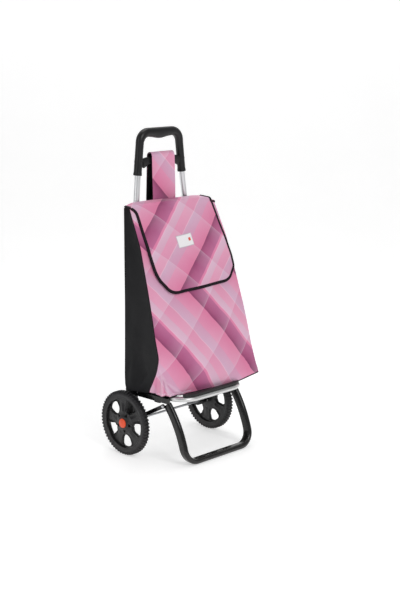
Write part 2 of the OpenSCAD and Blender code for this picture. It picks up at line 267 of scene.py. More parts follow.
def repeated(name, points, along, out, piece, finish, variation=0.0):
    """Copies of piece on points, its X axis along the line and its Z axis outwards, as one plain mesh."""
    mesh = bpy.data.meshes.new(name + "_points")
    mesh.from_pydata((np.array(points, float) * MM).tolist(), [], [])
    for key, values in (("along", along), ("out", out)):
        data = mesh.attributes.new(key, "FLOAT_VECTOR", "POINT")
        data.data.foreach_set("vector", np.array(unit(values), np.float32).reshape(-1))
    obj = bpy.data.objects.new(name, mesh)
    bpy.context.collection.objects.link(obj)
    modifier = obj.modifiers.new("repeat", "NODES")
    modifier.node_group = REPEAT
    sockets = {s.name: s.identifier for s in REPEAT.interface.items_tree if s.in_out == "INPUT"}
    modifier[sockets["Piece"]] = piece
    modifier[sockets["Finish"]] = finish
    modifier[sockets["Variation"]] = variation
    obj.update_tag()
    bpy.context.view_layer.update()
    graph = bpy.context.evaluated_depsgraph_get()
    baked = bpy.data.meshes.new_from_object(obj.evaluated_get(graph), depsgraph=graph)
    obj.modifiers.clear()
    obj.data = baked
    baked.name = name
    return obj


def small_piece(name, outline_xy, low, high, taper=0.8):
    """A little block used only as the thing repeated: outline in mm, from height low to high."""
    o = np.array(outline_xy, float)
    verts = [(x, y, low) for x, y in o] + [(x * taper, y * taper, high) for x, y in o]
    k = len(o)
    faces = [tuple(range(k))[::-1], tuple(range(k, 2 * k))]
    faces += [(i, (i + 1) % k, k + (i + 1) % k, k + i) for i in range(k)]
    obj = make(name, verts, faces)
    bpy.context.collection.objects.unlink(obj)
    return obj


print("repeat tree has", len(REPEAT.nodes), "nodes")

# %% [markdown]
# ## Finishes
#
# Four small node groups hold what the finishes share: moulded grain, woven threads, handling smudges and
# dust that gathers low down. Each finish then mixes them at its own scale and strength.

# %% Shared groups for grain, weave, smudges and dust
def group(name, inputs, outputs):
    tree = bpy.data.node_groups.new(name, "ShaderNodeTree")
    for key, kind, value in inputs:
        s = tree.interface.new_socket(key, in_out="INPUT", socket_type="NodeSocket" + kind)
        if value is not None:
            s.default_value = value
    for key, kind in outputs:
        tree.interface.new_socket(key, in_out="OUTPUT", socket_type="NodeSocket" + kind)
    return tree, tree.nodes.new("NodeGroupInput"), tree.nodes.new("NodeGroupOutput")


def node(tree, kind, links=(), **values):
    """A node with its settings and plain inputs; links are (input, source socket)."""
    n = tree.nodes.new(kind)
    for key, value in values.items():
        if hasattr(n, key):
            setattr(n, key, value)
        else:
            n.inputs[key.replace("_", " ")].default_value = value
    for key, source in links:
        tree.links.new(source, n.inputs[key])
    return n


def sums(tree, op, a, b=None, limited=False):
    n = tree.nodes.new("ShaderNodeMath")
    n.operation, n.use_clamp = op, limited
    for k, v in enumerate((a, b)):
        if v is None:
            continue
        if isinstance(v, (int, float)):
            n.inputs[k].default_value = v
        else:
            tree.links.new(v, n.inputs[k])
    return n.outputs[0]


def noise(tree, vector, scale, detail, rough=0.5, distort=0.0):
    """A smooth random value over the surface; scale is a number or a socket."""
    feel = {"Detail": detail, "Roughness": rough, "Distortion": distort}
    n = node(tree, "ShaderNodeTexNoise", [("Vector", vector)], **feel)
    if isinstance(scale, float):
        n.inputs["Scale"].default_value = scale
    else:
        tree.links.new(scale, n.inputs["Scale"])
    return n.outputs["Fac"]


AT = ("Vector", "Vector", None)


def grain_group():
    t, i, o = group("grain", [AT, ("Size", "Float", 900.0)], [("Height", "Float"), ("Shade", "Float")])
    at, size = i.outputs["Vector"], i.outputs["Size"]
    cell = node(t, "ShaderNodeTexVoronoi", [("Vector", at), ("Scale", size)], feature="SMOOTH_F1")
    pits = sums(t, "MULTIPLY", cell.outputs["Distance"], 0.6)
    t.links.new(sums(t, "ADD", noise(t, at, size, 5.0, 0.6), pits), o.inputs["Height"])
    t.links.new(noise(t, at, 24.0, 4.0), o.inputs["Shade"])
    return t


def weave_group():
    inputs = [("Cloth", "Vector", None), ("Threads", "Float", 1300.0)]
    t, i, o = group("weave", inputs, [("Height", "Float"), ("Shade", "Float")])
    at = [("Vector", i.outputs["Cloth"]), ("Scale", i.outputs["Threads"])]
    weft, warp = [node(t, "ShaderNodeTexWave", at, bands_direction=way, Distortion=0.6) for way in "XY"]
    t.links.new(sums(t, "MAXIMUM", weft.outputs["Fac"], warp.outputs["Fac"]), o.inputs["Height"])
    t.links.new(noise(t, i.outputs["Cloth"], 420.0, 3.0), o.inputs["Shade"])
    return t


def smudge_group():
    t, i, o = group("smudge", [AT, ("Size", "Float", 14.0)], [("Amount", "Float")])
    blots = noise(t, i.outputs["Vector"], i.outputs["Size"], 8.0, 0.65, 0.8)
    r = node(t, "ShaderNodeMapRange", [("Value", blots)])
    for k, v in ((1, 0.42), (2, 0.72), (3, 0.0), (4, 1.0)):
        r.inputs[k].default_value = v
    t.links.new(r.outputs[0], o.inputs["Amount"])
    return t


def dust_group():
    t, i, o = group("dust", [AT, ("Top", "Float", 0.16)], [("Amount", "Float")])
    z = node(t, "ShaderNodeSeparateXYZ", [("Vector", i.outputs["Vector"])]).outputs["Z"]
    low = sums(t, "SUBTRACT", 1.0, sums(t, "DIVIDE", z, i.outputs["Top"]), limited=True)
    grit = sums(t, "POWER", noise(t, i.outputs["Vector"], 60.0, 6.0, 0.7), 2.0)
    t.links.new(sums(t, "MULTIPLY", low, grit, limited=True), o.inputs["Amount"])
    return t


GRAIN, WEAVE, SMUDGE, DUST = grain_group(), weave_group(), smudge_group(), dust_group()
print("groups:", [g.name for g in (GRAIN, WEAVE, SMUDGE, DUST)])


# %% Finishes for metal, paint, plastic and rubber
def colour(rgb):
    """Display values 0-255 as scene-linear colour."""
    c = np.array(rgb, float) / 255
    c = np.where(c <= 0.04045, c / 12.92, ((c + 0.055) / 1.055) ** 2.4)
    return (float(c[0]), float(c[1]), float(c[2]), 1.0)


def use(tree, shared, vector, key="Vector", **values):
    n = tree.nodes.new("ShaderNodeGroup")
    n.node_tree = shared
    tree.links.new(vector, n.inputs[key])
    for k, v in values.items():
        n.inputs[k].default_value = v
    return n


def blended(tree, factor, a, b):
    """A mix of two colours, each a colour value or a socket."""
    m = tree.nodes.new("ShaderNodeMix")
    m.data_type = "RGBA"
    tree.links.new(factor, m.inputs[0])
    for socket, v in ((m.inputs[6], a), (m.inputs[7], b)):
        if isinstance(v, tuple):
            socket.default_value = v
        else:
            tree.links.new(v, socket)
    return m.outputs[2]


def bumped(tree, height, strength, distance, under=None):
    """A normal that stands up from the surface by a height; under is the normal below it."""
    n = node(tree, "ShaderNodeBump", [("Height", height)], Strength=strength, Distance=distance)
    if under:
        tree.links.new(under, n.inputs["Normal"])
    return n.outputs["Normal"]


def feed(tree, **sources):
    """Links what varies over the surface to the shader's inputs."""
    for key, source in sources.items():
        tree.links.new(source, tree.nodes["Principled BSDF"].inputs[key.replace("_", " ")])


def plain(tree, **values):
    """Sets what is the same all over the surface on the shader's own sockets."""
    for key, value in values.items():
        tree.nodes["Principled BSDF"].inputs[key.replace("_", " ")].default_value = value


DUST_COLOUR = (150, 146, 140)


def hard(name, rgb, rough, metal=0.0, grain=900.0, depth=0.1, smudged=0.12, dust=0.0, coat=0.0, shade=0.12,
         spec=0.5):
    """A hard finish: a base colour that varies a little, fine grain, smudged gloss, and dust low down."""
    m = bpy.data.materials.new(name)
    m.use_nodes = True
    t = m.node_tree
    at = t.nodes.new("ShaderNodeTexCoord").outputs["Object"]
    g, s = use(t, GRAIN, at, Size=grain), use(t, SMUDGE, at)
    dark, light = [tuple(min(1.0, c * k) for c in colour(rgb)[:3]) + (1.0,) for k in (1 - shade, 1 + shade)]
    shown = blended(t, g.outputs["Shade"], dark, light)
    if dust:
        amount = sums(t, "MULTIPLY", use(t, DUST, at).outputs["Amount"], dust)
        shown = blended(t, amount, shown, colour(DUST_COLOUR))
    gloss = sums(t, "ADD", rough, sums(t, "MULTIPLY", s.outputs["Amount"], smudged), limited=True)
    normal = bumped(t, g.outputs["Height"], min(1.0, depth * 4), depth * MM)
    feed(t, Base_Color=shown, Roughness=gloss, Normal=normal)
    plain(t, Metallic=metal, Coat_Weight=coat, Coat_Roughness=0.08, Specular_IOR_Level=spec)
    return m


FIN = {
    "chrome_tube": hard("chrome", (236, 237, 239), 0.3, 0.9, 60, 0.002, smudged=0.05, shade=0.03),
    "bright_steel": hard("bright_steel", (196, 197, 200), 0.26, 1.0, 300, 0.006, smudged=0.2),
    "black_paint": hard("black_paint", (9, 9, 11), 0.2, 0.0, 240, 0.015, 0.14, 0.15, 0.35, spec=0.25),
    "black_plastic": hard("black_plastic", (12, 12, 14), 0.42, 0.0, 1300, 0.08, dust=0.15, spec=0.35),
    "handle_plastic": hard("handle_plastic", (17, 17, 19), 0.36, 0.0, 1500, 0.08, coat=0.1, spec=0.35),
    "silver_tube": hard("silver_tube", (214, 214, 214), 0.3, 0.85, 200, 0.006),
    "black_rubber": hard("black_rubber", (26, 25, 26), 0.62, 0.0, 1100),
    "tyre_rubber": hard("tyre_rubber", (30, 29, 32), 0.5, 0.0, 1000, 0.16, dust=0.25, spec=0.4),
    "rim_plastic": hard("rim_plastic", (17, 16, 19), 0.27, 0.0, 1200, 0.04, dust=0.12, spec=0.4),
    "cap_plastic": hard("cap_plastic", (240, 82, 38), 0.34, depth=0.02, shade=0.05),
    "bush_nylon": hard("bush_nylon", (205, 203, 196), 0.4, depth=0.03),
    "board_cover": hard("board_cover", (48, 48, 50), 0.7, 0.0, 700, 0.12),
}
print(len(FIN), "hard finishes")

# %% [markdown]
# ## Cloth
#
# The plaid runs on the bias. A panel's "plaid" map counts the repeats across the two families of stripes, so
# the same finish runs "/" on the flap and "\" on the front. Its "cloth" map is its flat size in metres, which
# the threads follow, and the front's "crease" map says where a painted highlight lies along its raised folds
# and where painted shade lies in its sunken ones.

# %% Plaid, black coated cloth, binding and label
PERIOD = 187.0
# one repeat of the main stripes: where each starts and ends in mm, and its colour at both
STRIPES = [
    (0, 12, (128, 36, 90), (160, 68, 118)),
    (13, 42, (160, 68, 118), (184, 100, 146)),
    (42.5, 50, (224, 124, 166), (232, 138, 178)),
    (51, 52, (242, 194, 216), (242, 194, 216)),
    (53, 74, (224, 186, 208), (222, 178, 202)),
    (75.5, 104.5, (232, 160, 190), (228, 156, 186)),
    (106, 107, (238, 190, 212), (238, 190, 212)),
    (108, 138, (212, 174, 200), (216, 160, 190)),
    (139.5, 184.5, (228, 150, 183), (224, 122, 162)),
]


# how strongly the crossing stripes show across one of their repeats: a pale tint and a rosy one
PALE = [(0.0, 0.0), (0.5, 0.0), (0.86, 0.12), (0.955, 0.24), (0.972, 0.48), (0.985, 0.0)]
ROSY = [(0.0, 0.22), (0.3, 0.12), (0.6, 0.02), (0.975, 0.0), (0.985, 0.22)]


def cloth_base(name, rough, sheen, shine=0.3):
    m = bpy.data.materials.new(name)
    m.use_nodes = True
    t = m.node_tree
    plain(t, Roughness=rough, Sheen_Weight=sheen, Specular_IOR_Level=shine)
    return m, t, node(t, "ShaderNodeUVMap", uv_map="cloth").outputs["UV"]


def map_parts(tree, name):
    """The two numbers that one of a piece's maps holds."""
    flat = node(tree, "ShaderNodeUVMap", uv_map=name).outputs["UV"]
    return node(tree, "ShaderNodeSeparateXYZ", [("Vector", flat)]).outputs


def ramped(tree, factor, stops):
    """A colour ramp over factor; each stop is a place from 0 to 1 and a colour."""
    ramp = tree.nodes.new("ShaderNodeValToRGB")
    e = ramp.color_ramp.elements
    while len(e) < len(stops):
        e.new(0.5)
    for k, (at, value) in enumerate(stops):
        e[k].position, e[k].color = at, value
    tree.links.new(factor, ramp.inputs["Fac"])
    return ramp.outputs["Color"]


def plaid_finish():
    m, t, flat = cloth_base("plaid_cloth", 0.68, 0.15)
    place, fold = map_parts(t, "plaid"), map_parts(t, "crease")
    wander = sums(t, "MULTIPLY", sums(t, "SUBTRACT", noise(t, flat, 16.0, 2.0), 0.5), 0.035)
    along, cross = [sums(t, "FRACT", sums(t, "ADD", place[k], wander)) for k in "XY"]
    stops = [(at / PERIOD, c) for low, high, first, last in STRIPES for at, c in ((low, first), (high, last))]
    stops.append((0.992, STRIPES[0][2]))
    mixed = ramped(t, along, [(at, colour(c)) for at, c in stops])
    for tint, stops in (((208, 100, 148), ROSY), ((226, 198, 217), PALE)):
        strength = ramped(t, cross, [(at, (v, v, v, 1)) for at, v in stops])
        mixed = blended(t, strength, mixed, colour(tint))
    w = use(t, WEAVE, flat, key="Cloth")
    # the crease map's second number lays painted shade into the sunken creases and its first a painted
    # highlight along the raised ones; random tone and the weave's own tone follow
    layers = (
        (fold["Y"], 0.35, (196, 84, 140)), (fold["X"], 0.55, (240, 208, 226)),
        (noise(t, flat, 34.0, 6.0, 0.7), 0.08, (244, 212, 228)), (w.outputs["Shade"], 0.08, (150, 80, 120)),
    )
    for mask, strength, tint in layers:
        mixed = blended(t, sums(t, "MULTIPLY", mask, strength), mixed, colour(tint))
    feed(t, Base_Color=mixed, Normal=bumped(t, w.outputs["Height"], 0.25, 0.15 * MM))
    return m


def coated_finish(name, rgb, threads, rough=0.5, creased=0.5, depth=0.2):
    """Dark cloth with a coated back: threads show faintly, with soft creases."""
    m, t, flat = cloth_base(name, rough, 0.0, 0.16)
    w = use(t, WEAVE, flat, key="Cloth", Threads=threads)
    crease = noise(t, flat, 9.0, 3.0, 0.5, 1.2)
    dark, light = [colour(tuple(c * k for c in rgb)) for k in (0.82, 1.18)]
    gloss = sums(t, "ADD", rough - 0.06, sums(t, "MULTIPLY", crease, 0.16))
    fine = bumped(t, w.outputs["Height"], 0.35, depth * MM)
    soft = bumped(t, crease, creased, 4 * MM, fine)
    feed(t, Base_Color=blended(t, w.outputs["Shade"], dark, light), Roughness=gloss, Normal=soft)
    return m


def label_finish():
    """A blank woven label: off-white satin with a faint border and one plain coloured bar."""
    m, t, flat = cloth_base("label_cloth", 0.42, 0.2)
    at = map_parts(t, "cloth")

    def off(axis, centre):
        return sums(t, "ABSOLUTE", sums(t, "SUBTRACT", at[axis], centre))

    sides = [sums(t, "DIVIDE", off(k, 0.0), reach) for k, reach in (("X", 0.029), ("Y", 0.0155))]
    edge = sums(t, "MAXIMUM", *sides)
    bar = sums(t, "LESS_THAN", sums(t, "MAXIMUM", off("X", 0.0185), off("Y", 0.001)), 0.0045)
    w = use(t, WEAVE, flat, key="Cloth", Threads=2400.0)
    tone = blended(t, w.outputs["Shade"], colour((232, 230, 232)), colour((250, 248, 250)))
    tone = blended(t, sums(t, "GREATER_THAN", edge, 1.0), tone, colour((206, 200, 206)))
    tone = blended(t, bar, tone, colour((226, 84, 66)))
    feed(t, Base_Color=tone, Normal=bumped(t, w.outputs["Height"], 0.3, 0.1 * MM))
    return m


FIN["plaid_cloth"] = plaid_finish()
FIN["black_cloth"] = coated_finish("black_cloth", (16, 16, 19), 900.0)
FIN["binding_tape"] = coated_finish("binding_tape", (24, 14, 22), 1500.0, rough=0.55, creased=0.1, depth=0.15)
FIN["label_cloth"] = label_finish()
FIN["thread"] = coated_finish("thread", (60, 56, 62), 3000.0, rough=0.6, creased=0.05, depth=0.05)
FIN["piping"] = coated_finish("piping", (226, 190, 210), 2200.0, rough=0.5, creased=0.05, depth=0.08)
print(len(FIN), "finishes in all")


def dress(obj, finish, body, stands_for=()):
    """Gives a piece its finish and says which body it moves with and which plain parts it stands for."""
    obj.data.materials.clear()
    obj.data.materials.append(FIN[finish])
    if body:
        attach(obj, body)
    if stands_for:
        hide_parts(*stands_for)
    return obj


for part in frame["record"]["subparts"]:
    mesh = nodes[part["node"]].data
    mesh.materials.clear()
    mesh.materials.append(FIN[part["material_slot"]])
print("every plain part has its finish")

# %% [markdown]
# ## Wheels
#
# A moulded rim has five broad spokes that flare into its ring, with a small dark pocket in each root. Its
# faces are set point by point, because the spokes swell and hollow where a cut-out disc would stay flat. The
# tyre is a turned ring with two rows of staggered blocks, which give its edge a saw-toothed outline.

# %% Rims
WHEEL_X, WHEEL_Y, WHEEL_Z = 184.5, 66.0, 100.0
WINDOW_IN, WINDOW_OUT, RIM_R = 37.0, 74.0, 82.5


def window_half(r):
    """Half the angle of a window at radius r, in radians: rounded at both ends and widest near the ring."""
    t = (r - WINDOW_IN) / (WINDOW_OUT - WINDOW_IN)
    if t <= 0 or t >= 1:
        return 0.0
    reach = 7.5 + 14.5 * t**0.9
    ends = (1 - abs(2 * t - 1) ** 5) ** 0.5
    return reach * ends / r


def rim_height(r, s, pocket):
    """How far the rim's face stands from its middle plane; s is -1 to 1 across a spoke."""
    if r < 21:
        return 10.4 - 0.5 * max(0, (r - 19.5))
    if r > 76.5:
        return 1.5 + min(7.7, (r - 76.5) * 6)
    h = 8.8 - 7.0 * min(1, (r - 21) / 40) ** 0.8
    h -= 4.0 * abs(s) ** 8 * clamp((r - 32) / 8)
    ridge = hump(abs(s), 0.74, 0.09) * clamp((r - 30) / 10)
    h += 2.6 * max(0.0, 1 - abs(s) / 0.5) * clamp((r - 30) / 8) * max(0.0, 1 - (r - 30) / 40)
    return h + 2.0 * ridge * (1 - max(0, (r - 68) / 9)) - 6.5 * pocket


def rim(name, side, first):
    """One wheel's rim. first is the angle of its first window, from +Y towards +Z, in degrees."""
    cx = side * WHEEL_X
    radii = np.concatenate([
        np.linspace(6.2, 19.4, 5), np.linspace(20, 36.5, 15),
        WINDOW_IN + (WINDOW_OUT - WINDOW_IN) * (0.5 - 0.5 * np.cos(np.linspace(0, math.pi, 34))),
        [75.0, 75.8, 76.4, 76.9, 77.6, 78.4, 80.5, 82.0, RIM_R],
    ])
    steps = 30
    verts, faces = [], []
    for k in range(5):
        mid = math.radians(first + 36 + 72 * k)
        base = len(verts)
        for face in (1, -1):
            for r in radii:
                reach = math.pi / 5 - window_half(r)
                for s in np.linspace(-1, 1, steps + 1):
                    a = mid + reach * s
                    off = abs(abs(s) * reach - math.pi / 5)
                    pocket = 0.0
                    if 22.5 < r < 31.5:
                        wide = 0.20 * (1 - (r - 22.5) / 9.5)
                        pocket = 1 / (1 + math.exp((off - wide) * 90)) * min(1, (r - 22.5) / 1.2)
                    h = rim_height(r, s, pocket) if face > 0 else -min(8.8, rim_height(r, s, 0) + 0.5)
                    verts.append((cx + side * h, WHEEL_Y + r * math.cos(a), WHEEL_Z + r * math.sin(a)))
        rows, cols = len(radii), steps + 1
        back = rows * cols
        faces += grid_faces(rows, cols, base=base) + grid_faces(rows, cols, base=base + back)
        for i in range(rows - 1):
            low, high = base + i * cols, base + (i + 1) * cols
            if window_half(radii[i]) > 0 or window_half(radii[i + 1]) > 0:
                faces += [(low + c, high + c, high + c + back, low + c + back) for c in (0, cols - 1)]
        for i in (0, rows - 1):
            first_v = base + i * cols
            faces += [(v, v + 1, v + 1 + back, v + back) for v in range(first_v, first_v + cols - 1)]
    return make(name, verts, faces, sharp=40)


# %% Tyres, hub caps and the wheels put together
TYRE = [
    (81.2, -8.6), (84.0, -9.6), (88.0, -10.1), (91.0, -9.7), (91.6, -9.0), (93.2, -9.2), (95.6, -8.4),
    (96.9, -6.4), (97.2, -3.0), (96.2, -0.9), (96.2, 0.9), (97.2, 3.0), (96.9, 6.4), (95.6, 8.4), (93.2, 9.2),
    (91.6, 9.0), (91.0, 9.7), (88.0, 10.1), (84.0, 9.6), (81.2, 8.6), (80.6, 5.0), (80.6, -5.0),
]
# the cap's outline: radius and distance from the wheel's middle
CAP = [
    (0, 15.6), (5.5, 15.5), (6.4, 15.0), (7.2, 15.1), (11.2, 14.6), (13.2, 13.9), (14.2, 12.8), (14.4, 11.2),
    (11.6, 10.8), (11.4, 6.4), (0, 6.4),
]
KNOBS = 58


def tyre(name, side):
    cx = side * WHEEL_X
    ring = turned(name, TYRE, (cx, WHEEL_Y, WHEEL_Z), side, steps=174)
    slanted = [(-3.1, -4.0), (2.2, -4.0), (3.1, 3.6), (-2.0, 4.0)]
    wedge = [(-2.6, -2.9), (2.6, -2.9), (2.0, 2.9), (-2.0, 2.9)]
    block = small_piece(name + "_block", slanted, -1.2, 3.0, 0.86)
    lug = small_piece(name + "_lug", wedge, -1.0, 1.5, 0.8)
    spots, along, out = [], [], []
    edges, edge_along, edge_out = [], [], []
    for row, x in ((0, -4.6), (1, 4.6)):
        for k in range(KNOBS):
            a = 2 * math.pi * (k + 0.5 * row) / KNOBS
            r = np.array([0, math.cos(a), math.sin(a)])
            t = np.array([0, -math.sin(a), math.cos(a)]) * (1 if row else -1)
            spots.append(np.array([cx + x, WHEEL_Y, WHEEL_Z]) + r * 97.0)
            along.append(t + np.array([0.35 * (1 if row else -1), 0, 0]))
            out.append(r)
            edges.append(np.array([cx + x * 1.98, WHEEL_Y, WHEEL_Z]) + r * 94.6)
            edge_along.append(t)
            edge_out.append(np.array([math.copysign(1.0, x), 0, 0]) * 0.8 + r * 0.55)
    blocks = repeated(name + "_blocks", spots, along, out, block, FIN["tyre_rubber"])
    lugs = repeated(name + "_lugs", edges, edge_along, edge_out, lug, FIN["tyre_rubber"])
    return ring, blocks, lugs


def cap(name, side):
    """A domed cap pressed into the hub, with a shallow ring and a raised button."""
    return turned(name, CAP, (side * WHEEL_X, WHEEL_Y, WHEEL_Z), side, steps=72, sharp=50)


for word, side, first in (("left", -1, -27.5), ("right", 1, -45.0)):
    body = "wheel_" + word
    dress(rim("rim_" + word, side, first), "rim_plastic", body, ["wheel_rim_" + word])
    ring, blocks, lugs = tyre("tyre_" + word, side)
    dress(ring, "tyre_rubber", body, ["wheel_tyre_" + word])
    dress(blocks, "tyre_rubber", body)
    dress(lugs, "tyre_rubber", body)
    dress(cap("cap_" + word, side), "cap_plastic", body, ["hub_cap_" + word])
print("two wheels with", KNOBS * 2, "blocks each")

# %% [markdown]
# ## Chassis
#
# The foot frame is one flat-oval tube. It runs down from the platform, forward along a curve, round a wide
# bend and across the front. The platform is a silver loop with a black rubber strip on its front rail.

# %% Foot frame
BEND, START, FOOT_Y = 345.0, math.radians(8.4), -151.5
RAIL_Z, ROUND = 8.5, 44.0


def leg_lean(z):
    """How far a leg leans forward at a height, in radians."""
    return math.asin(math.sin(START) + max(0, z - RAIL_Z) / BEND)


def leg_point(x, z):
    return (x, FOOT_Y + BEND * (math.cos(START) - math.cos(leg_lean(z))), z)


half = [(0, RAIL_Z), (50, RAIL_Z), (80, RAIL_Z)] + arc(97, RAIL_Z + ROUND, ROUND, -90, 0, 19)
half += [(141 + 2 * ((z - 45) / 148) ** 2, z) for z in np.linspace(60, 177, 16)]
half = [leg_point(x, z) for x, z in half]
path = even([(-x, y, z) for x, y, z in half[::-1]] + half[1:], 150)
tilt = [leg_lean(p[2]) * clamp((p[2] - RAIL_Z) / 40) for p in path]
wide = np.array([(0, math.cos(a), math.sin(a)) for a in tilt])
foot = sweep("foot_frame_tube", path, rounded(17, 29, 8.0, 6), wide)
dress(foot, "black_paint", "chassis", ["foot_frame"])
print("foot frame runs", round(length(path)), "mm of tube")

# %% Platform loop and its rubber strip
DECK_Z, RAIL_X, DECK_Y, TURN = 195.5, 131.0, -132.0, 53.0
side_run = [(RAIL_X, 46, DECK_Z), (RAIL_X, 0, DECK_Z), (RAIL_X, -60, DECK_Z)]
bend = [(x, y, DECK_Z) for x, y in arc(RAIL_X - TURN, DECK_Y + TURN, TURN, 0, -90, 15)]
deck = side_run + bend
deck = even(deck + [(-x, y, z) for x, y, z in deck[::-1]], 140)
loop = sweep("platform_loop_tube", deck, rounded(24, 14, 6.4, 6), (0, 0, 1))
dress(loop, "silver_tube", "platform", ["platform_loop"])
front = np.array([p + (0, 0, 11.6) for p in deck if abs(p[0]) < 118 and p[1] < -90])
front = even(front, 90)
ends = np.clip(np.minimum(np.arange(90), 89 - np.arange(90)) / 3.0, 0, 1)
strip = rounded(17, 9.6, 3.2, 4)
shape = np.array([strip * (0.75 + 0.25 * math.sqrt(e)) for e in ends])
ridge = np.array([1 - 0.05 * (k % 2) for k in range(strip.shape[0])])[:, None]
bumper = sweep("platform_strip", front, shape * ridge, (0, 0, 1))
dress(bumper, "black_rubber", "platform", ["platform_bumper"])
print("platform loop and strip made")

# %% [markdown]
# ## Uprights
#
# Each upright is one chromed tube, bent inwards once above its foot. It is swept along one line, because a
# single skin shines evenly and shows no step at the bend.

# %% Uprights
UPRIGHT_X, UPRIGHT_Y, UPRIGHT_FOOT, UPRIGHT_BEND, UPRIGHT_TOP = 149.0, 74.7, 116.0, 345.0, 868.0
LEAN, SPLAYED, ELBOW = math.radians(1.7), math.radians(6.4), 120.0


def upright_line(side):
    """A straight foot, a short bend inwards and a straight run up into the handle, all leaning back."""
    rise = UPRIGHT_BEND - UPRIGHT_FOOT
    run = (UPRIGHT_TOP - UPRIGHT_BEND) / math.cos(SPLAYED)
    line = [(0.0, z) for z in np.linspace(0, rise, 8)]
    line += [(ELBOW * (math.cos(a) - 1), rise + ELBOW * math.sin(a)) for a in np.linspace(0, SPLAYED, 7)[1:]]
    x, z = line[-1]
    line += [(x - d * math.sin(SPLAYED), z + d * math.cos(SPLAYED)) for d in np.linspace(0, run, 24)[1:]]
    lean = math.sin(LEAN), math.cos(LEAN)
    return [(side * (UPRIGHT_X + x), UPRIGHT_Y + z * lean[0], UPRIGHT_FOOT + z * lean[1]) for x, z in line]


for word, side in (("left", -1), ("right", 1)):
    tube = sweep("upright_tube_" + word, upright_line(side), rounded(18, 18, 8.95, 8), (0, 1, 0))
    dress(tube, "chrome_tube", "chassis", ["upright_" + word])
print("each upright runs", round(length(upright_line(1))), "mm of tube")

# %% [markdown]
# ## Handle
#
# The moulded handle is thin down its legs and thick across the top, where its underside swells for the
# fingers. A flat bridge with turned-out ends crosses below it and carries the bag's strap.

# %% Handle, collars and bridge
HANDLE_Y, HANDLE_TOP, SHOULDER = 97.0, 972.6, 34.0


def leg_x(z):
    return 93.8 - (z - 844) * math.tan(SPLAYED)


turn_z = HANDLE_TOP - SHOULDER
side_pts = [(leg_x(z), HANDLE_Y, z) for z in (845, 870, 895, 920, turn_z)]
arc_pts = [(x, HANDLE_Y, z) for x, z in arc(leg_x(turn_z) - SHOULDER, turn_z, SHOULDER, 8, 90, 10)]
half = side_pts + arc_pts + [(20, HANDLE_Y, HANDLE_TOP)]
path = even([(-x, y, z) for x, y, z in half] + half[::-1], 160)
sections = []
for x, y, z in path:
    grip = 1 / (1 + math.exp(-(z - 950) / 5.0))
    swell = grip * 5.2 * hump(x, -3, 26) + grip * 2.2 * math.exp(-(x / 60) ** 4)
    collar = 0.7 * hump(z, 849, 4) + 0.5 * hump(z, 886, 2.4)
    thick = 23.6 + 2.4 * grip
    ring = rounded(thick + 2 * collar, 24.6 + 2 * collar + 1.6 * grip, 11.2, 6)
    inner = ring[:, 0] < 0
    ring[inner, 0] -= swell * np.clip(-ring[inner, 0] / 8, 0, 1)
    sections.append(ring)
flip = np.sign(frames(path, (0, 1, 0))[2][len(path) // 2, 2])
grip_mesh = sweep("handle_moulding", path, [q * (flip, 1) for q in sections], (0, 1, 0))
dress(grip_mesh, "handle_plastic", "chassis", ["handle", "handle_grip"])
line = even([(x, 93.2, 894.5 - 12 * (x / 70) ** 2) for x in np.linspace(-77, 77, 40)], 90)
flare = [1 + 0.42 * np.clip((abs(p[0]) - 44) / 30, 0, 1) ** 1.3 for p in line]
bridge = sweep("handle_bridge_bar", line, [rounded(21 * f, 12.4, 5, 5) for f in flare], (0, 1, 0))
dress(bridge, "handle_plastic", "chassis", ["handle_bridge"])
print("handle and bridge made")

# %% [markdown]
# ## Bag
#
# The bag is one lofted shell of cloth, cut into a front, two gussets and a back so that each can carry its
# own finish. Its corners are set height by height: the bag hangs a little askew, its front swells between its
# seams, and its lower left corner is drawn back while the lower right one stays sharp.

# %% The bag's corner lines
MOUTH_Z, FLOOR_Z = 762, 205
BACK_L = [
    (762, -166, 79), (640, -169, 76), (460, -173, 72), (327, -178, 69), (250, -183, 66), (214, -184, 63),
    (205, -181, 60),
]
BACK_R = [
    (762, 168, 77), (640, 173, 74), (460, 179, 70), (327, 185, 66), (250, 188, 63), (214, 187, 61),
    (205, 184, 58),
]
SEAM_L = [
    (760, -163, 60), (740, -167, 49), (645, -171, 6), (519, -180, -35), (440, -184, -57), (384, -187, -71),
    (325, -187, -86), (280, -180, -68), (240, -172, -42), (213, -166, -23), (205, -163, -18),
]
SEAM_R = [
    (760, 170, 33), (740, 172, 28), (645, 176, -16), (519, 181, -57), (440, 185, -80), (384, 188, -94),
    (325, 190, -108), (280, 191, -121), (240, 192, -131), (224, 193, -137), (205, 194, -139),
]
# the front between its seams: a height, then the (x, y) of three places across it
FRONT = [
    (762, [(-80, 47), (0, 43), (85, 38)]),
    (740, [(-84, 33), (2, 28), (88, 24)]),
    (645, [(-86, -10), (3, -16), (90, -20)]),
    (519, [(-92, -56), (2, -66), (94, -66)]),
    (440, [(-96, -79), (2, -90), (96, -90)]),
    (384, [(-98, -93), (2, -105), (96, -104)]),
    (325, [(-110, -104), (-6, -115), (92, -114)]),
    (280, [(-132, -102), (-22, -118), (86, -121)]),
    (240, [(-146, -97), (-36, -117), (80, -125)]),
    (216, [(-149, -90), (-44, -113), (78, -122)]),
    (205, [(-148, -84), (-46, -107), (76, -116)]),
]


def at_height(table, z):
    t = np.array(sorted(table), float)
    return np.array([np.interp(z, t[:, 0], t[:, 1]), np.interp(z, t[:, 0], t[:, 2])])


def soft_line(table, z, reach=(-9, -3, 3, 9)):
    """A corner line read with a little rounding of its kinks."""
    return sum(at_height(table, min(MOUTH_Z, max(FLOOR_Z, z + d))) for d in reach) / len(reach)


MIDDLES = [[(z, *places[k]) for z, places in FRONT] for k in range(3)]


def front_row(z, count):
    """The front cloth at one height, from its left seam to its right one, evenly spaced."""
    inner = [soft_line(table, z, (-8, 0, 8)) for table in MIDDLES]
    pts = [soft_line(SEAM_L, z)] + inner + [soft_line(SEAM_R, z)]
    return spline([(x, y, z) for x, y in pts], count)


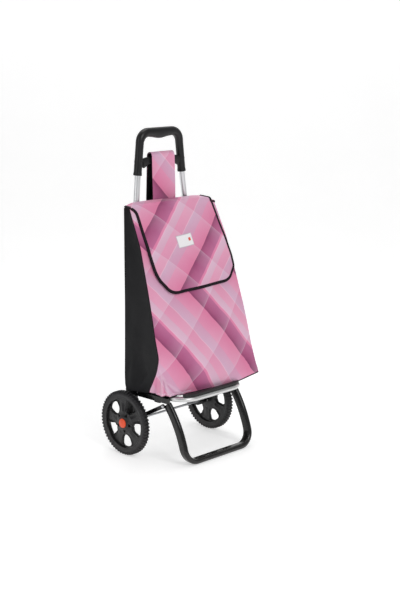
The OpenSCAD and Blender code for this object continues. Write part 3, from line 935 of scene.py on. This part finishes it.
def folds(u, v, z):
    """Soft wrinkles of the front cloth, in mm outwards: u runs 0 to 1 across, v is mm down from the top."""
    tuck = -3.5 * hump(u, 0.34, 0.05) * hump(z, 240, 40)
    drag = 1.6 * math.sin(u * 9 + v * 0.012) * math.sin(v * 0.021 + u * 3) * math.sin(math.pi * u)
    corner = 3.2 * math.sin((u - 0.75) * 26 - v * 0.02) * hump(u, 0.9, 0.13) * hump(z, 262, 46)
    return tuck + drag + corner


WAVES = ((0.021, 0.013, 0.3), (0.034, 0.027, 1.9), (0.011, 0.041, 2.7), (0.052, 0.019, 4.4))


def cloth_noise(x, z, size, seed):
    """A smooth bump pattern, the same on every run."""
    total = 0.0
    for k, (fx, fz, p) in enumerate(WAVES):
        wave = math.sin(x * fx + z * fz + p + seed) * math.cos(z * fx * 0.8 - x * fz + p * 1.7 - seed)
        total += wave / (k + 1.5)
    return size * total


def outward(grid):
    """The way out of a sheet at each of its points."""
    out = -unit(np.cross(np.gradient(grid, axis=1), np.gradient(grid, axis=0)))
    return out * np.where(out[:, :, 1:2] > 0.4, -1, 1)


heights = np.concatenate([np.linspace(MOUTH_Z, 308, 62), np.linspace(304, FLOOR_Z, 40)])
COLS = 145
# creases fanning out from the pulled-in corner: across and height at both ends, half width, depth, all in mm
# a raised crease (depth above 0) gets a painted highlight, a sunken one painted shade
CREASES = [
    ((0, 305), (53, 205), 3.6, 4.5), ((4, 290), (78, 205), 3.2, 4.0), ((2, 292), (64, 205), 3.6, -3.4),
    ((0, 280), (22, 205), 5.0, -4.0), ((20, 262), (120, 207), 4.0, 2.4), ((10, 270), (100, 205), 4.5, -2.4),
]


def crease_highlight_and_shade(across, z):
    """How far a place is into each crease, 0 to 1, as painted highlight where its depth is raised and painted
    shade where it is sunken, and the depth it adds.
    """
    pale = dark = deep = 0.0
    for (a0, z0), (a1, z1), wide, depth in CREASES:
        t = (z0 - z) / (z0 - z1)
        if t <= 0:
            continue
        share = min(1.0, 3 * t) * hump(across, a0 + (a1 - a0) * t, wide * (0.6 + 0.6 * t))
        deep += depth * share * min(1.0, 0.4 + t)
        # pale: painted highlight along raised creases; dark: painted shade in sunken ones
        pale = max(pale, share) if depth > 0 else pale
        dark = max(dark, share) if depth < 0 else dark
    return pale, dark, deep


rows = np.array([front_row(z, COLS) for z in heights])
share = np.linspace(0, 1, COLS)[None, :]
rise = 20 * np.clip((share - 0.72) / 0.28, 0, 1) ** 1.5 + 3 * np.clip((0.10 - share) / 0.10, 0, 1)
rows[:, :, 2] += rise * np.clip((300 - heights[:, None]) / 95, 0, 1) ** 1.5
drop = np.concatenate([[0], np.cumsum(np.linalg.norm(np.diff(rows[:, COLS // 2], axis=0), axis=1))])
edge = np.clip(np.minimum(np.arange(COLS), COLS - 1 - np.arange(COLS)) / 8.0, 0, 1)
width = np.array([length(row) for row in rows])
# for each point: its share of painted highlight, its share of painted shade, and the crease depth it adds
creases = np.array([
    [crease_highlight_and_shade(wide * j / (COLS - 1), z) for j in range(COLS)] for wide, z in zip(width, heights)
])
lift = np.array([
    [folds(j / (COLS - 1), drop[i], z) + cloth_noise(rows[i, j, 0], z, 1.5, 0.4) for j in range(COLS)]
    for i, z in enumerate(heights)
]) + creases[:, :, 2]
rows = rows + outward(rows) * (lift * edge[None, :])[:, :, None]
print("front cloth:", round(drop[-1]), "mm deep and", round(length(rows[0])), "mm wide at its mouth")

# %% Panels of the bag
def width_map(grid):
    """Each point's flat place in mm: across from the panel's middle line, and down from its top."""
    across = np.zeros(grid.shape[:2])
    for i, row in enumerate(grid):
        run = np.concatenate([[0], np.cumsum(np.linalg.norm(np.diff(row, axis=0), axis=1))])
        across[i] = run - run[-1] / 2
    mid = grid[:, grid.shape[1] // 2]
    down = np.concatenate([[0], np.cumsum(np.linalg.norm(np.diff(mid, axis=0), axis=1))])
    return np.stack([across, np.broadcast_to(down[:, None], across.shape)], axis=2)


def follows(obj):
    """Gives the piece its own copy of its mesh."""
    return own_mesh(obj)


def panel(name, grid, finish, stands_for, plaid=None, body="chassis", thick=1.2,
          squashed=True, creased=None):
    """A cloth panel with its maps, its finish and its body; when squashed, it gets its own copy of its mesh.
    """
    flat = width_map(grid)
    maps = {"cloth": flat * MM}
    if plaid is not None:
        maps["plaid"] = plaid(flat, grid)
    # creased holds the painted highlight and painted shade of the front's creases
    if creased is not None:
        maps["crease"] = creased
    obj = cloth_solid(name, grid, maps, thick)
    dress(obj, finish, body, stands_for)
    deep = float(max(length(c) for c in grid.transpose(1, 0, 2))) * MM
    if squashed:
        follows(obj)
    return obj


def settled(grid):
    """The same cloth with its top corners hanging a little lower than the middle of its mouth."""
    grid = np.array(grid, float)
    x, z = grid[..., 0], grid[..., 2]
    dip = 6 * np.clip((-x - 125) / 38, 0, 1) + 8 * np.clip((x - 115) / 53, 0, 1)
    grid[..., 2] = z - dip * np.clip((z - 716) / 46, 0, 1) ** 2
    return grid


def repeats(along, size, cross, gap):
    """The plaid map: distances in mm as repeats of each family of stripes."""
    return np.stack([along / size + 3, cross / gap], axis=2)


def front_plaid(flat, grid):
    """Stripes run "\\" down the front, and turn a little steeper towards its foot."""
    x, across, down = grid[:, :, 0], flat[:, :, 0], flat[:, :, 1]
    swung = np.sign(across) * np.maximum(np.abs(x), np.abs(across))
    u = across * 0.5 + np.where(np.abs(x) > 150, swung, x) * 0.5
    return repeats((u - 0.814 * down) / 1.2894 + 209.4, 187.4, (u + down) / 1.414 - 27.8, 106.6)


# the front's crease map carries painted highlight on its raised creases and painted shade in its sunken ones
panel("bag_front_cloth", settled(rows), "plaid_cloth", ["bag_front"], front_plaid, creased=creases[:, :, :2])


def side_rows(back_line, side, count=34):
    """A gusset: from the front seam to the back edge, with a soft inward fold down its middle."""
    out_rows = []
    for i, z in enumerate(heights):
        f = rows[i, 0 if side < 0 else -1]
        b = soft_line(back_line, z)
        a, c = np.array(f), np.array([b[0], b[1], z])
        low = hump(z, 265, 60)
        line = []
        for t in np.linspace(0, 1, count):
            p = a + (c - a) * t
            belly = math.sin(math.pi * t)
            inward = 1.2 * belly + 5.0 * low * hump(t, 0.45, 0.16) - 2.0 * low * hump(t, 0.75, 0.1)
            inward += 2.2 * low * belly * math.sin(t * 11 + z * 0.06)
            p[0] -= side * (inward + cloth_noise(p[1], z, 0.9, side) * belly)
            line.append(p)
        out_rows.append(line)
    return np.array(out_rows)


left_gusset = side_rows(BACK_L, -1)
right_gusset = side_rows(BACK_R, 1)
panel("bag_left_gusset", settled(left_gusset)[:, ::-1], "black_cloth", ["bag_gusset_left"])
panel("bag_right_gusset", settled(right_gusset), "black_cloth", ["bag_gusset_right"])
back_rows = []
for i, z in enumerate(heights):
    a, c = right_gusset[i, -1], left_gusset[i, -1]
    line = [a + (c - a) * t for t in np.linspace(0, 1, 40)]
    for k, p in enumerate(line):
        p[1] -= (1.5 + cloth_noise(p[0], z, 0.8, 2.0)) * math.sin(math.pi * k / 39)
    back_rows.append(line)
back_rows = np.array(back_rows)
panel("bag_back_cloth", settled(back_rows), "black_cloth", ["bag_back"])
floor_rows = []
left_edge, right_edge = even(left_gusset[-1][::-1], 30), even(right_gusset[-1][::-1], 30)
across = np.linspace(0, 1, 36)[:, None]
foot = rows[-1][np.linspace(0, COLS - 1, 36).astype(int)]
bulge = foot[:, 1] - (foot[0, 1] + (foot[-1, 1] - foot[0, 1]) * across[:, 0])
for k in range(30):
    t = k / 29
    line = left_edge[k] + (right_edge[k] - left_edge[k]) * across
    line[:, 1] += bulge * t**2
    line[:, 2] = 205.2 + (foot[:, 2] - 205.2) * t**8
    floor_rows.append(line)
panel("bag_floor_cloth", np.array(floor_rows)[:, ::-1], "black_cloth", ["bag_floor"])

# %% [markdown]
# ## Seams
#
# The real panels are sewn edge to edge with a folded tape over the seam, and a cord of piping along the foot.
# Each is a thin tube swept along the panel's own edge, so it can't come away from the cloth. The stitches are
# one small thread, repeated.

# %% Seams, piping and stitches of the bag
def cloth_map(obj, *ways):
    """Gives a swept tape its cloth map: each way is the shares of x, y and z in one of its two numbers."""
    layer = obj.data.uv_layers.new(name="cloth")
    co = np.array([obj.data.vertices[l.vertex_index].co for l in obj.data.loops])
    layer.data.foreach_set("uv", (co @ np.array(ways, float).T).astype(np.float32).reshape(-1))


def cord_line(name, line, r, finish, hint):
    obj = sweep(name, line, rounded(2 * r, 2 * r, r * 0.98, 3), hint)
    cloth_map(obj, (1, 1, 0), (0, 1, 1))
    return dress(obj, finish, "chassis")


rows = settled(rows)
seam_left = even(rows[:, 0] + (-0.6, -0.4, 0), 120)
seam_right = even(rows[:, -1] + (-0.5, 0.9, 0), 120)
foot_edge = even(rows[-1] + (0, -0.6, 0.6), 120)
for name, line, hint, r in (
    ("seam_left", seam_left, (-1, 0, 0), 1.5), ("seam_right", seam_right, (1, 0, 0), 0.9),
    ("seam_foot", foot_edge, (0, 0, 1), 2.0),
):
    follows(cord_line("bag_" + name, line, r, "binding_tape", hint))
tucked = even(rows[-4, 12:52] + (0, -1.0, 0), 60)
follows(cord_line("bag_foot_piping", tucked, 1.7, "piping", (0, 0, 1)))
mouth = np.vstack([settled(left_gusset[0])[::-1], rows[0], settled(right_gusset[0])[1:]])
follows(cord_line("bag_mouth_tape", even(mouth + (0, 0, -1.6), 200), 1.5, "binding_tape", (0, 0, 1)))
stitch = small_piece("stitch", [(-1.5, -0.35), (1.5, -0.35), (1.5, 0.35), (-1.5, 0.35)], -0.15, 0.3, 0.7)


def stitches(name, line, out_dirs, gap=4.4, body="chassis"):
    line = np.array(line, float)
    count = max(4, int(length(line) / gap))
    spots = even(line, count)
    at = np.linspace(0, len(line) - 1, count).astype(int)
    along = np.gradient(spots, axis=0)
    obj = repeated(name, spots, along, np.array(out_dirs)[at], stitch, FIN["thread"], 0.08)
    dress(obj, "thread", body)
    return follows(obj)


n_front = outward(rows)
stitches("stitches_left", rows[:, 4] + n_front[:, 4] * 0.3, n_front[:, 4])
stitches("stitches_right", rows[:, -5] + n_front[:, -5] * 0.3, n_front[:, -5])
stitches("stitches_foot", rows[-4] + n_front[-4] * 0.3, n_front[-4])
print("bag sewn")

# %% [markdown]
# ## Flap
#
# The flap is one sheet: it starts behind the mouth, rolls over the top and lies on the sloping front. Its
# outline has two rounded lower corners and is bound all round in dark tape.

# %% The flap's sheet
def front_y(x, z):
    """Where the front cloth lies at a height and a distance across, in mm."""
    row = front_row(min(MOUTH_Z, max(230, z)), 41)
    return float(np.interp(x, row[:, 0], row[:, 1]))


RIGHT = [(-34, 150), (0, 151), (8, 152), (26, 156), (95, 160), (160, 167), (200, 172), (235, 171), (255, 160)]
LEFT = [
    (-34, -161), (-14, -161), (-2, -157), (8, -151), (16, -148), (90, -149), (150, -148), (200, -145),
    (225, -140), (250, -128),
]
FLAP_END, FLAP_CORNER = 312.0, 46.0


def flap_side(table, d):
    t = np.array(table, float)
    return float(np.interp(d, t[:, 0], t[:, 1]))


def flap_surface(x, d):
    """A point of the flap: d is the distance from its back edge, in mm, first over the top and then down."""
    brow = front_y(x, 758) - 1.6
    droop = 5.5 * clamp((x - 95) / 60) ** 2 + 7.5 * clamp((-x - 125) / 34) ** 2
    back = 75 - 0.03 * x
    top_len = max(8.0, back - brow)
    if d < top_len:
        sag = 2.2 * math.sin(math.pi * d / top_len) + 1.2 * math.sin(x * 0.03)
        return np.array([x, back - d, 768.5 - droop - sag * 0.5 - 2.5 * (d / top_len) ** 3])
    down = d - top_len
    z = 766.0 - down * 0.925
    ease = min(1.0, down / 16)
    off = 3.4 + 1.4 * math.sin(x * 0.017 + down * 0.012) + 2.4 * (down / 250) ** 2
    off += 3.0 * (abs(x) / 165) ** 3 * (down / 260)
    y = front_y(x, z) - off * (0.75 + 0.25 * ease) - cloth_noise(x, z, 0.8, 1.1) * ease
    return np.array([x, y, z - 2.2 * (1 - ease) - droop * hump(down, 0, 30)])


turn = FLAP_END - FLAP_CORNER
rounding = turn + FLAP_CORNER * np.sin(np.linspace(0.08, math.pi / 2, 14))
dists = np.concatenate([np.linspace(0, 44, 12), np.linspace(50, turn, 40), rounding])
flap_rows = []
for d in dists:
    left, right = flap_side(LEFT, d - 32), flap_side(RIGHT, d - 32)
    k = max(0.0, (d - turn) / FLAP_CORNER)
    shrink = FLAP_CORNER * (1 - math.sqrt(max(0.0, 1 - k * k)))
    xs = np.linspace(left + shrink * 0.95, right - shrink * 1.05, 61)
    tilt_low = [d + k * (-2.0 - 3.0 * (x / 150)) for x in xs]
    flap_rows.append([flap_surface(x, dd) for x, dd in zip(xs, tilt_low)])
flap_rows = np.array(flap_rows)


def flap_plaid(flat, grid):
    u, v = grid[:, :, 0], flat[:, :, 1] - 34
    return repeats((u + 1.12 * v) / 1.5015 + 30.3, 186.7, (u - v) / 1.414 + 497.0, 102.0)


panel("flap_cloth", flap_rows, "plaid_cloth", ["flap_top", "flap_front"], flap_plaid,
      body="flap", thick=1.4)

# %% [markdown]
# ## Binding and label
#
# A dark tape is folded over the flap's cut edge and sewn through, so it stands a little proud of the cloth on
# both sides. It is swept round the three free sides. The label is a small woven patch, left blank.

# %% Binding, its stitches, the label and the small loose end
def hem(grid):
    """The flap's free edge: down its left side, along its foot and up its right side."""
    return np.vstack([grid[:, 0], grid[-1, 1:-1], grid[::-1, -1]])


ring = even(hem(flap_rows), 360)
n_flap = -unit(np.cross(np.gradient(flap_rows, axis=1), np.gradient(flap_rows, axis=0)))
near = [int(np.argmin(((hem(flap_rows) - p) ** 2).sum(1))) for p in ring]
n_ring = hem(n_flap)[near]
for _ in range(6):
    n_ring[1:-1] = unit(n_ring[1:-1] + n_ring[2:] + n_ring[:-2])
    ring[1:-1] = (ring[1:-1] * 2 + ring[2:] + ring[:-2]) / 4
proud = np.clip((ring[:, 2] - 748) / 14, 0, 1) * (ring[:, 0] > 0)
tape_rings = [rounded(9.6, 4.6 + 2.6 * p, 2.0, 4) for p in proud]
tape = sweep("flap_binding_tape", ring + n_ring * (0.8 * proud - 0.2)[:, None], tape_rings, n_ring)
cloth_map(tape, (1, 0, -1), (1, 0, 1))
follows(dress(tape, "binding_tape", "flap", ["flap_binding"]))
s_ring = frames(ring, n_ring)[2]
centre = np.array([5.0, -20.0, 650.0])
inward = np.where(((s_ring * (centre - ring)).sum(1) > 0)[:, None], 1, -1) * s_ring
stitches("flap_stitches", ring + inward * 3.0 + n_ring * 1.9, n_ring, body="flap")

LABEL_W, LABEL_H = 31.0, 17.5
label_grid = []
for b in np.linspace(1, -1, 9):
    line = []
    for a in np.linspace(-1, 1, 17):
        x = -9.5 + LABEL_W * a
        d = 34 + (762 - (645 + LABEL_H * b + 2.2 * a)) / 0.925
        p = flap_surface(x, d)
        line.append(p + np.array([0, -2.2 - 0.25 * math.cos(a * 3), -0.3]))
    label_grid.append(line)
label_grid = np.array(label_grid)
flat = np.stack(np.meshgrid(np.linspace(-LABEL_W, LABEL_W, 17), np.linspace(LABEL_H, -LABEL_H, 9)), 2) * MM
label = cloth_solid("flap_label_cloth", label_grid, {"cloth": flat}, 0.6)
follows(dress(label, "label_cloth", "flap", ["flap_label"]))
loose = spline([(162, 32, 750), (168, 31, 750), (173, 30, 748)], 10)
nub = sweep("mouth_tape_end", loose, rounded(7, 3.4, 1.5, 3), (0, -1, 0.4))
nub.data.uv_layers.new(name="cloth")
follows(dress(nub, "binding_tape", "chassis", ["corner_tab"]))
print("flap bound, stitched and labelled")

# %% [markdown]
# ## Strap
#
# A doubled strap hangs over the bridge: plaid in front, black lining behind.

# %% The strap over the bridge
def strap(line, half_wide):
    """A band of cloth along a side view (y, z), slightly curled across and wavy along."""
    grid = []
    for k, (y, z) in enumerate(even(line, 60)):
        curl = [0.6 * math.cos(2.2 * a) - 0.5 * math.sin(k * 0.13 + 2 * a) for a in np.linspace(-1, 1, 21)]
        grid.append([(half_wide * a, y + c, z) for a, c in zip(np.linspace(-1, 1, 21), curl)])
    return np.array(grid)


front_line = [
    (79.6, 765), (80.2, 800), (81.6, 850), (82.6, 890), (82.9, 901), (84.6, 907.5), (89, 911.5), (94, 911.8),
    (99, 909.5), (102.4, 904), (103.4, 890), (104.6, 850), (106.5, 800), (108, 768), (101, 745), (87, 716),
]
inner_line = [
    (81.6, 766), (82.2, 800), (83.6, 850), (84.6, 889), (85.2, 899), (87, 904), (90, 907), (94, 907.2),
    (98, 905.5), (100.2, 901), (101, 890), (102.2, 850), (104.1, 800), (105.6, 769), (99, 747), (85.5, 719),
]
strap_grid = strap(front_line[::-1], 47.5)[::-1]


def strap_plaid(flat, grid):
    u, v = grid[:, :, 0], 900 - grid[:, :, 2]
    return repeats((v - u) / 1.414 - 81.3, 187.0, (u + v) / 1.414 + 400, 104.0)


panel("strap_cloth", strap_grid[:, ::-1], "plaid_cloth", ["bag_loop"], strap_plaid,
      squashed=False, thick=1.3)
lining_grid = strap(inner_line, 46.6)
panel("strap_lining", lining_grid[:, ::-1], "black_cloth", [],
      squashed=False, thick=1.0)
for side in (-1, 1):
    edge_line = np.array([(side * 47.2, y, z) for y, z in even(front_line, 120)])
    cord_line("strap_edge_" + ("left" if side < 0 else "right"), edge_line, 1.1, "binding_tape", (side, 0, 0))
print("strap hung")

# %% [markdown]
# ## Stage, lights and camera
#
# The trolley stands on white paper that curves up behind it, under a soft key from the front, a narrow fill
# from its left and a broad light from above. The tubes need that much white round them to look like chrome.

# %% Stage, lights and camera
def ground():
    """A white paper cove: flat under the trolley, curving up behind it, lit a little from within."""
    line = [(-9000, 0), (2400, 0)] + arc(2400, 1500, 1500, -80, 0, 9) + [(3900, 7000)]
    c, d = math.cos(math.radians(44)), math.sin(math.radians(44))
    grid = [(u * c - w * d, u * d + w * c, z) for u, z in line for w in np.linspace(-9000, 9000, 5)]
    cove = make("paper_cove", grid, grid_faces(len(line), 5), sharp=80)
    m = bpy.data.materials.new("paper")
    m.use_nodes = True
    t = m.node_tree
    soft = noise(t, t.nodes.new("ShaderNodeTexCoord").outputs["Object"], 3.0, 3.0)
    feed(t, Base_Color=blended(t, soft, (0.78, 0.78, 0.78, 1), (0.81, 0.81, 0.81, 1)))
    plain(t, Roughness=0.95, Specular_IOR_Level=0.1)
    plain(t, Emission_Color=(1.0, 1.0, 1.0, 1.0), Emission_Strength=0.45)
    cove.data.materials.append(m)


ground()
world = bpy.data.worlds.new("studio")
bpy.context.scene.world = world
world.use_nodes = True
world.node_tree.nodes["Background"].inputs["Color"].default_value = (1.0, 1.0, 1.0, 1)
world.node_tree.nodes["Background"].inputs["Strength"].default_value = 0.32


def lamp(name, at, aim, size, power):
    data = bpy.data.lights.new(name, "AREA")
    data.shape, data.size, data.size_y, data.energy = "RECTANGLE", size[0], size[1], power
    obj = bpy.data.objects.new(name, data)
    bpy.context.collection.objects.link(obj)
    obj.location = at
    obj.rotation_euler = (Vector(aim) - Vector(at)).to_track_quat("-Z", "Y").to_euler()


lamp("key", (-0.6, -3.0, 2.5), (0, 0, 0.45), (1.5, 1.5), 44)
lamp("fill", (-3.2, 0.4, 1.8), (0, 0, 0.5), (0.7, 2.0), 14)
lamp("top", (0.4, 0.6, 3.4), (0, 0, 0.4), (1.8, 1.8), 26)

camera_data = bpy.data.cameras.new("view")
camera_data.lens, camera_data.sensor_width = 75.11, 36.0
camera_data.shift_x, camera_data.shift_y = -0.0034, -0.0022
camera = bpy.data.objects.new("view", camera_data)
bpy.context.collection.objects.link(camera)
camera.location = (-2.6569, -2.6485, 1.2543)
camera.rotation_euler = (math.radians(78.16), 0, math.radians(-45.99))
bpy.context.scene.camera = camera
bpy.context.scene.view_settings.view_transform = "Standard"
print("stage, lights and camera set")
